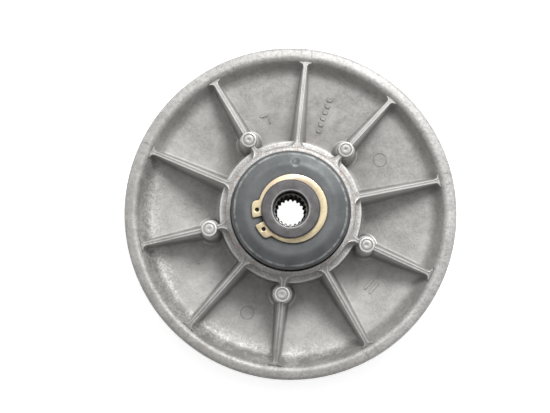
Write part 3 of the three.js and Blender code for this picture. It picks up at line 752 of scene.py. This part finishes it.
class Shader:
    """Builds the nodes of a material, placed in the piece's own millimetres, or of the world."""

    def __init__(self, owner, coordinates="Object", scale=1 / MM):
        owner.use_nodes = True
        self.owner = owner
        self.nodes, self.links = owner.node_tree.nodes, owner.node_tree.links
        self.surface = self.nodes.get("Principled BSDF")
        plain = self.nodes.new("ShaderNodeTexCoord").outputs[coordinates]
        scaled = self.nodes.new("ShaderNodeVectorMath")
        scaled.operation = "SCALE"
        scaled.inputs["Scale"].default_value = scale
        self.links.new(plain, scaled.inputs[0])
        self.place = scaled.outputs[0]

    def link(self, value, socket):
        if hasattr(value, "links"):
            self.links.new(value, socket)
        elif hasattr(socket.default_value, "__len__") and not hasattr(value, "__len__"):
            socket.default_value = [value] * len(socket.default_value)
        elif hasattr(value, "__len__") and len(value) == 3 and len(socket.default_value) == 4:
            socket.default_value = (*value, 1)
        else:
            socket.default_value = value

    def noise(self, size, detail=3.0, rough=0.5, at=None, distortion=0.0):
        """Noise whose blobs are about size millimetres across."""
        node = self.nodes.new("ShaderNodeTexNoise")
        node.inputs["Scale"].default_value = 1 / size
        node.inputs["Detail"].default_value = detail
        node.inputs["Roughness"].default_value = rough
        node.inputs["Distortion"].default_value = distortion
        self.links.new(self.place if at is None else at, node.inputs["Vector"])
        return node.outputs["Fac"]

    def speckle(self, size):
        """Distance to scattered points about size millimetres apart."""
        node = self.nodes.new("ShaderNodeTexVoronoi")
        node.inputs["Scale"].default_value = 1 / size
        self.links.new(self.place, node.inputs["Vector"])
        return node.outputs["Distance"]

    def math(self, operation, a, b=0.0):
        node = self.nodes.new("ShaderNodeMath")
        node.operation = operation
        self.link(a, node.inputs[0])
        self.link(b, node.inputs[1])
        return node.outputs[0]

    def times(self, first, *others):
        """Product of two or more values."""
        for other in others:
            first = self.math("MULTIPLY", first, other)
        return first

    def plus(self, a, b):
        return self.math("ADD", a, b)

    def remap(self, value, start, end, low_value=0.0, high_value=1.0):
        """Value from start..end to low_value..high_value, held at both ends."""
        node = self.nodes.new("ShaderNodeMapRange")
        for socket, number in zip(list(node.inputs)[1:5], (start, end, low_value, high_value)):
            socket.default_value = number
        self.link(value, node.inputs[0])
        return node.outputs[0]

    def mix(self, share, a, b):
        node = self.nodes.new("ShaderNodeMix")
        node.data_type = "RGBA"
        self.link(share, node.inputs["Factor"])
        colours = [socket for socket in node.inputs if socket.type == "RGBA"]
        self.link(a, colours[0])
        self.link(b, colours[1])
        return [socket for socket in node.outputs if socket.type == "RGBA"][0]

    def tint(self, base, share, strength, colour):
        """Base drawn towards a colour where share is high."""
        return self.mix(self.times(share, strength), base, colour)

    def between(self, value, dark, pale, start=0.35, end=0.65):
        """Colour from dark to pale as a noise value runs through its usual range."""
        return self.mix(self.remap(value, start, end), dark, pale)

    def open_share(self, distance):
        """1 out in the open, less in corners closer than distance millimetres."""
        node = self.nodes.new("ShaderNodeAmbientOcclusion")
        node.samples = 6
        node.inputs["Distance"].default_value = distance * MM
        return node.outputs["AO"]

    def part(self, axis):
        """One coordinate of the place: X, Y or Z."""
        node = self.nodes.new("ShaderNodeSeparateXYZ")
        self.links.new(self.place, node.inputs[0])
        return node.outputs[axis]

    def seen(self):
        """1 for what the camera sees directly, 0 for reflected and scattered light."""
        return self.nodes.new("ShaderNodeLightPath").outputs["Is Camera Ray"]

    def radius(self):
        """Distance from the pulley's axis."""
        x, y = self.part("X"), self.part("Y")
        return self.math("SQRT", self.plus(self.times(x, x), self.times(y, y)))

    def attribute(self, name):
        node = self.nodes.new("ShaderNodeAttribute")
        node.attribute_name = name
        return node.outputs["Fac"]

    def grooves(self, along, pitch):
        """Fine turning grooves: noise stretched so that it varies only with one coordinate."""
        joined = self.nodes.new("ShaderNodeCombineXYZ")
        self.links.new(along, joined.inputs[0])
        self.links.new(self.times(self.noise(40, 1), 0.15 * pitch), joined.inputs[1])
        return self.noise(pitch, 2, 0.6, joined.outputs[0])

    def bump(self, height, depth):
        """Relief from a 0..1 height, depth millimetres deep."""
        node = self.nodes.new("ShaderNodeBump")
        node.inputs["Distance"].default_value = depth * MM
        node.inputs["Strength"].default_value = 1.0
        self.link(height, node.inputs["Height"])
        self.links.new(node.outputs[0], self.surface.inputs["Normal"])

    def finish(self, colour, rough, metallic):
        self.link(colour, self.surface.inputs["Base Color"])
        self.link(rough, self.surface.inputs["Roughness"])
        self.link(metallic, self.surface.inputs["Metallic"])
        return self.owner


def material(name):
    """A new material, as the Shader that builds it."""
    return Shader(bpy.data.materials.new(name))


def cast_aluminium():
    """Die-cast grey skin: mottled, with painted shade in its hollows and beside the hub, oxidised at the
    rim, bright along its edges.
    """
    s = material("cast_aluminium")
    edge, r = s.attribute("edge"), s.radius()
    broad, middle, fine = s.noise(30, 4, 0.6), s.noise(8, 4, 0.6, distortion=0.8), s.noise(0.9, 3, 0.6)
    tone = s.plus(s.times(broad, 0.55), s.times(middle, 0.45))
    grey = s.between(tone, (0.262, 0.256, 0.248), (0.400, 0.392, 0.380), 0.40, 0.60)
    streak = s.remap(s.noise(15, 5, 0.65, distortion=1.6), 0.50, 0.66)
    grey = s.tint(grey, streak, 0.40, (0.235, 0.222, 0.208))
    grain = s.remap(s.noise(1.5, 4, 0.7), 0.38, 0.62)
    grey = s.tint(grey, grain, 0.30, (0.50, 0.49, 0.475))
    pit = s.remap(s.noise(1.9, 3, 0.7, distortion=0.5), 0.36, 0.30)
    grey = s.tint(grey, pit, 0.5, (0.12, 0.115, 0.11))
    # Painted shade: the colour darkens in hollows and corners, where nearby surfaces hem a spot in.
    painted_hollow_shade = s.remap(s.open_share(5.0), 0.30, 0.95, 0.55, 0)
    grey = s.mix(painted_hollow_shade, grey, (0.14, 0.133, 0.125))
    chip = s.remap(s.plus(edge, s.times(s.noise(1.1, 4, 0.8), 1.5)), 1.05, 1.45)
    bright = s.math("MAXIMUM", chip, s.remap(edge, 0.5, 1.4, 0, 0.45))
    grey = s.tint(grey, bright, 0.75, (0.62, 0.615, 0.605))
    rim = s.times(s.remap(r, 84, 98), s.remap(s.noise(21, 3, 0.6), 0.40, 0.60, 0.25, 1))
    bloom = s.times(s.remap(s.noise(2.2, 5, 0.8), 0.44, 0.58), rim)
    grey = s.tint(grey, bloom, 0.4, (0.54, 0.53, 0.51))
    worn_dark = s.times(s.remap(s.noise(1.8, 5, 0.85), 0.50, 0.60), s.remap(r, 88, 100))
    grey = s.tint(grey, worn_dark, 0.6, (0.20, 0.195, 0.19))
    # Darker towards the lower left out near the rim, and painted shade on the floor beside the hub on its
    # +Y side.
    lower_left_side = s.remap(s.plus(s.part("X"), s.times(s.part("Y"), 1.3)), 10, -110)
    by_rim = s.times(lower_left_side, s.remap(r, 72, 92, 0, 0.5))
    painted_shade_by_hub = s.times(s.remap(r, 68, 50, 0, 0.45), s.remap(s.part("Y"), 0, 35))
    grey = s.mix(s.math("MAXIMUM", by_rim, painted_shade_by_hub), grey, (0.24, 0.228, 0.215))
    clumps, grains = s.remap(s.noise(12, 4, 0.7), 0.43, 0.52), s.remap(s.noise(1.7, 5, 0.85), 0.44, 0.54)
    at_foot = s.times(s.remap(r, 82, 90), s.remap(r, 102, 96, 0.35, 1))
    salt = s.times(clumps, grains, lower_left_side, at_foot)
    grey = s.tint(grey, salt, 0.6, (0.66, 0.65, 0.63))
    ring = s.times(s.remap(r, 43.5, 41), s.remap(s.part("Z"), 72, 75))
    grey = s.tint(grey, ring, 0.55, (0.25, 0.245, 0.24))
    spark = s.times(s.remap(s.noise(0.9, 4, 0.85), 0.54, 0.60), s.remap(r, 50, 45))
    grey = s.tint(grey, spark, 0.7, (0.74, 0.73, 0.71))
    rust = s.times(s.remap(s.noise(5, 4, 0.7), 0.50, 0.64), ring)
    grey = s.tint(grey, rust, 0.55, (0.27, 0.175, 0.11))
    rough = s.plus(s.remap(middle, 0.3, 0.7, 0.46, 0.60), s.times(bright, -0.10))
    height = s.plus(s.times(fine, 0.5), s.times(s.noise(3.2, 3, 0.6), 0.8))
    s.bump(height, 0.20)
    return s.finish(grey, rough, 0.40)


def turned_aluminium():
    """Belt face: turned bright, with a darker polished band where the belt runs."""
    s = material("turned_aluminium")
    r = s.radius()
    cut = s.grooves(r, 0.35)
    band = s.remap(s.noise(30, 2), 0.3, 0.7, 0.75, 1)
    base = s.between(cut, (0.50, 0.50, 0.49), (0.66, 0.655, 0.64))
    worn = s.times(s.remap(r, 62, 80), s.remap(r, 99, 92))
    base = s.tint(base, s.times(worn, band), 0.55, (0.34, 0.335, 0.325))
    smear = s.remap(s.noise(18, 4, 0.6), 0.42, 0.70)
    base = s.tint(base, smear, 0.4, (0.24, 0.235, 0.23))
    s.bump(cut, 0.03)
    return s.finish(base, s.remap(s.noise(12, 2), 0, 1, 0.25, 0.45), 0.9)


def phosphated_steel():
    """Dark hub steel, rubbed bright on its edges and round the mouth of its bore."""
    s = material("phosphated_steel")
    edge = s.attribute("edge")
    r = s.radius()
    cloud = s.noise(5, 4, 0.6)
    base = s.between(cloud, (0.088, 0.084, 0.086), (0.116, 0.112, 0.114))
    end = s.remap(s.part("Z"), HUB_TOP - 1.5, HUB_TOP - 0.6)
    lip = s.times(s.remap(r, 10.9, 11.1), s.remap(r, 12.1, 11.5), end)
    mouth = s.times(s.remap(r, 13.6, 11.2), end)
    rub = s.times(mouth, s.remap(s.noise(3.5, 4, 0.7), 0.50, 0.66))
    worn = s.math("MAXIMUM", s.remap(edge, 0.4, 1.0, 0, 0.8), s.times(rub, 0.5))
    worn = s.math("MAXIMUM", worn, s.times(lip, 0.75))
    base = s.mix(worn, base, (0.42, 0.41, 0.40))
    # Painted shade: darker down inside the bore.
    bore = s.remap(s.part("Z"), HUB_TOP - 0.9, HUB_TOP - 2.2)
    base = s.tint(base, bore, 0.4, (0.05, 0.048, 0.046))
    tips = s.times(bore, s.remap(r, 10.6, 9.9), s.remap(s.noise(2), 0.3, 0.6, 0.5, 1))
    base = s.tint(base, tips, 0.6, (0.55, 0.54, 0.52))
    cut = s.grooves(r, 0.5)
    s.bump(s.plus(cut, s.times(s.noise(0.6, 3), 0.6)), 0.025)
    return s.finish(base, s.remap(cloud, 0.3, 0.7, 0.36, 0.52), 0.85)


def coated_cup_steel():
    """Blue-black coating on pressed sheet: semi-gloss, faintly scuffed, with pin-head dirt."""
    s = material("coated_cup_steel")
    edge = s.attribute("edge")
    cloud = s.noise(16, 4, 0.6)
    base = s.between(cloud, (0.080, 0.085, 0.088), (0.118, 0.123, 0.125))
    dust = s.remap(s.noise(1.3, 4, 0.75), 0.60, 0.70)
    base = s.tint(base, dust, 0.35, (0.25, 0.26, 0.26))
    scuff = s.times(s.remap(edge, 0.22, 0.6), s.remap(s.noise(4, 4, 0.7), 0.36, 0.60))
    base = s.tint(base, scuff, 0.75, (0.36, 0.38, 0.38))
    # Painted shade: nearly black in the gaps and corners, such as under the circlip and round the cup's
    # edge.
    base = s.mix(s.remap(s.open_share(2.5), 0.35, 0.85, 0.95, 0), base, (0.006, 0.006, 0.006))
    s.bump(s.plus(s.noise(1.0, 3), s.times(s.grooves(s.radius(), 0.8), 0.5)), 0.03)
    return s.finish(base, s.remap(s.noise(6, 4), 0.3, 0.7, 0.46, 0.60), 0.5)


def yellow_zinc():
    """Yellow passivation over zinc, with the pink and green drift that the film has."""
    s = material("yellow_zinc")
    edge = s.attribute("edge")
    drift = s.noise(7, 3, 0.5, distortion=1.0)
    base = s.between(drift, (0.50, 0.385, 0.21), (0.58, 0.48, 0.29))
    base = s.tint(base, s.remap(s.noise(11, 2), 0.5, 0.7), 0.5, (0.50, 0.29, 0.19))
    # Painted shade: the clip turns darker and browner towards +Y.
    base = s.mix(s.remap(s.part("Y"), 4, 18, 0, 0.6), base, (0.30, 0.18, 0.13))
    base = s.mix(s.remap(edge, 0.8, 1.8, 0, 0.5), base, (0.75, 0.68, 0.50))
    tarnish = s.remap(s.noise(2.2, 4, 0.7), 0.56, 0.70)
    base = s.tint(base, tarnish, 0.4, (0.27, 0.19, 0.12))
    s.bump(s.noise(0.7, 3), 0.02)
    return s.finish(base, s.remap(drift, 0.3, 0.7, 0.29, 0.39), 0.9)


def ground_steel():
    s = material("ground_steel")
    cut = s.noise(0.4, 2)
    base = s.between(s.noise(3, 4, 0.6), (0.44, 0.44, 0.44), (0.60, 0.60, 0.59))
    # Painted shade: darker where the surface is concave, in corners and creases.
    base = s.mix(s.remap(s.attribute("edge"), -0.6, -0.1, 0.6, 0), base, (0.10, 0.09, 0.08))
    s.bump(cut, 0.015)
    return s.finish(base, s.remap(cut, 0.3, 0.7, 0.29, 0.38), 0.95)


def spring_wire():
    s = material("spring_wire")
    cloud = s.noise(4, 4, 0.6)
    base = s.between(cloud, (0.030, 0.031, 0.034), (0.070, 0.070, 0.072))
    base = s.tint(base, s.remap(s.noise(1.4, 4, 0.7), 0.60, 0.72), 0.5, (0.16, 0.10, 0.06))
    s.bump(s.noise(0.8, 3), 0.03)
    return s.finish(base, s.remap(cloud, 0.3, 0.7, 0.32, 0.46), 0.6)


def sintered_bronze():
    s = material("sintered_bronze")
    pores = s.speckle(0.5)
    base = s.between(s.noise(3, 4), (0.40, 0.25, 0.11), (0.52, 0.34, 0.17))
    base = s.mix(s.remap(pores, 0.22, 0.08, 0, 0.7), base, (0.10, 0.06, 0.03))
    s.bump(pores, 0.03)
    return s.finish(base, 0.42, 0.85)


def moulded_nylon():
    s = material("moulded_nylon")
    base = s.between(s.noise(6, 4), (0.62, 0.58, 0.47), (0.72, 0.69, 0.59))
    base = s.tint(base, s.remap(s.noise(2, 4, 0.7), 0.58, 0.7), 0.5, (0.22, 0.20, 0.17))
    s.bump(s.noise(0.8, 3), 0.02)
    s.link(0.05, s.surface.inputs["Subsurface Weight"])
    return s.finish(base, s.remap(s.noise(5, 3), 0.3, 0.7, 0.38, 0.5), 0.0)


def seal_rubber():
    s = material("seal_rubber")
    base = s.between(s.noise(2, 4), (0.012, 0.012, 0.012), (0.030, 0.029, 0.028))
    s.bump(s.noise(0.5, 3), 0.03)
    return s.finish(base, s.remap(s.noise(3, 3), 0.3, 0.7, 0.55, 0.75), 0.0)


def mark_edges(made):
    """Stores how convex the mesh is at each point, per millimetre, as the attribute 'edge'."""
    mesh = made.data
    at = values(mesh.vertices, "co").astype(float) / MM
    normals = values(mesh.vertex_normals, "vector").astype(float)
    a, b = values(mesh.edges, "vertices", 2).T
    apart = at[a] - at[b]
    length_squared = np.maximum((apart ** 2).sum(1), 0.15 ** 2)
    bend = ((normals[a] - normals[b]) * apart).sum(1) / length_squared
    strongest, weakest = np.zeros(len(at)), np.zeros(len(at))
    for end in (a, b):
        np.maximum.at(strongest, end, bend)
        np.minimum.at(weakest, end, bend)
    value = np.where(strongest > -weakest, strongest, weakest)
    stored = mesh.attributes.new("edge", "FLOAT", "POINT")
    stored.data.foreach_set("value", np.clip(value, -2, 2).astype(np.float32))


# ---- pieces on their bodies

def give(made, body, node, slot, *looks):
    """Finishes a piece: it stands for its CAD node, rides on its body and wears its materials."""
    mesh = made.data
    mesh.materials.clear()
    for look in looks:
        mesh.materials.append(look)
    mesh.shade_smooth()
    mesh.set_sharp_from_angle(angle=math.radians(35))
    if "edge" not in mesh.attributes:
        mark_edges(made)
    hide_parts(node)
    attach(made, body)
    return made


def turn_belt_face(made, face_up):
    """Gives the second material to the turned faces on the belt's side of a sheave."""
    polygons = made.data.polygons
    x, y, z = values(polygons, "center").T / MM
    upwards = values(polygons, "normal")[:, 2]
    radius = np.hypot(x, y)
    if face_up:
        face = high("fixed_sheave") - rise(radius)
    else:
        face, upwards = low("movable_sheave") + rise(radius), -upwards
    on_face = (upwards > 0.6) & (radius > FACE_INNER_RADIUS - 14) & (abs(z - face) < 0.8)
    polygons.foreach_set("material_index", on_face.astype(np.int32))


aluminium, turned = cast_aluminium(), turned_aluminium()
hub_steel, bright_steel = phosphated_steel(), ground_steel()
rubber, bronze = seal_rubber(), sintered_bronze()

movable = give(movable_sheave(), "movable_sheave", "movable_sheave", "cast_aluminium", aluminium, turned)
turn_belt_face(movable, False)
fixed = give(fixed_sheave(), "hub", "fixed_sheave", "cast_aluminium", aluminium, turned)
turn_belt_face(fixed, True)
give(splined_hub(), "hub", "splined_hub", "hub_steel", hub_steel)
for number in range(RIVET_COUNT):
    node = f"hub_rivet_{number + 1}"
    give(hub_rivet(number, f"{node}_set"), "hub", node, "bright_steel", bright_steel)
for number in range(CAM_COUNT):
    give(cam_pin(number), "hub", f"cam_pin_{number + 1}", "bright_steel", bright_steel)
    roller = f"cam_roller_{number + 1}"
    give(cam_roller(number), roller, roller, "bright_steel", bright_steel)
give(cam_sleeve(), "movable_sheave", "cam_sleeve", "hub_steel", hub_steel)
for name in ("lower_bushing", "upper_bushing"):
    give(tube(f"{name}_sintered", name, *SLEEVE_BORE), "movable_sheave", name, "bearing_bronze", bronze)
for name, up in (("lower_grease_seal", -1), ("upper_grease_seal", 1)):
    give(grease_seal(f"{name}_moulded", name, up), "movable_sheave", name, "seal_rubber", rubber)
for name, thickness in (("lower_o_ring", 0.42), ("upper_o_ring", 0.6)):
    give(o_ring(f"{name}_moulded", name, thickness), "movable_sheave", name, "seal_rubber", rubber)
give(seal_collar(), "movable_sheave", "seal_collar", "bright_steel", bright_steel)
give(thrust_washer(), "thrust_washer", "thrust_washer", "nylon", moulded_nylon())
spring = give(compression_spring(), "hub", "compression_spring", "spring_steel", spring_wire())
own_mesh(spring)
give(spring_cup(), "hub", "spring_cup", "black_steel", coated_cup_steel())
give(place(circlip(), turn=CIRCLIP_TURN), "hub", "circlip", "yellow_zinc", yellow_zinc())


# ---- floor, light and camera

def stage_disc(name, radius, height, colour, glow):
    """A flat stage surface that isn't part of the object; its glow is seen but lights nothing."""
    made = make_object(name, on_circles(radius, circle(96), height), [tuple(range(96))])
    s = material(name)
    made.data.materials.append(s.finish(colour, 0.8, 0.0))
    s.link(1.0, s.surface.inputs["Emission Color"])
    s.link(s.times(s.seen(), glow), s.surface.inputs["Emission Strength"])
    return made


def key_light():
    """One round lamp above the far side, turned to the pulley."""
    data = bpy.data.lights.new("key", "AREA")
    data.shape = "DISK"
    data.size = 0.26
    data.energy = 4.8
    made = add("key", data)
    made.location = Vector((0.12, 0.41, 0.68))
    made.rotation_euler = (Vector((0, 0, 0.05)) - made.location).to_track_quat("-Z", "Y").to_euler()


ROOM_DARK, ROOM_BRIGHT = 0.26, 1.25


def soft_room():
    """A pale room that lights from one side; seen directly it is white all round."""
    world = bpy.data.worlds.new("soft_room")
    s = Shader(world, "Generated", 1)
    background = s.nodes["Background"]
    light = s.math("MAXIMUM", s.remap(s.part("Y"), -0.30, 0.05, ROOM_DARK, ROOM_BRIGHT), s.seen())
    s.link(light, background.inputs["Strength"])
    s.link(1.0, background.inputs["Color"])
    bpy.context.scene.world = world


stage_disc("floor", 3000, -0.5, (0.93, 0.93, 0.93), 0.54)
stage_disc("light_patch", 26, -0.3, (0.95, 0.95, 0.95), 1.0)
key_light()
soft_room()
bpy.context.scene.view_settings.view_transform = "Standard"

CAMERA_DISTANCE = 800.0
CAMERA_AIM_Z = 55.0
CAMERA_TURN = 5.8  # degrees about the pulley's axis
CAMERA_LEAN = (3.2, 0.45)  # degrees away from straight down, about the picture's X and Y
OFF_CENTRE = (0.028, -0.0116)  # pulley's place in the picture, in picture widths
SEEN_WIDTH = 354.2  # millimetres across the picture at the aim


def add_camera():
    """Looks almost straight down the axis, from a little towards -Y, with the pulley right of centre."""
    data = bpy.data.cameras.new("camera")
    data.sensor_width = 36.0
    data.lens = CAMERA_DISTANCE / SEEN_WIDTH * data.sensor_width
    data.clip_start, data.clip_end = 0.01, 20
    made = add("camera", data)
    angles = [math.radians(angle) for angle in (CAMERA_TURN, *CAMERA_LEAN)]
    facing = Matrix.Identity(4)
    for angle, axis in zip(angles, "ZXY"):
        facing = facing @ Matrix.Rotation(angle, 4, axis)
    pulley_from_camera = Vector((*OFF_CENTRE, -CAMERA_DISTANCE / SEEN_WIDTH)) * SEEN_WIDTH
    camera_at = Vector((0, 0, CAMERA_AIM_Z)) - facing @ pulley_from_camera
    made.matrix_world = Matrix.Translation(camera_at * MM) @ facing
    bpy.context.scene.camera = made


add_camera()
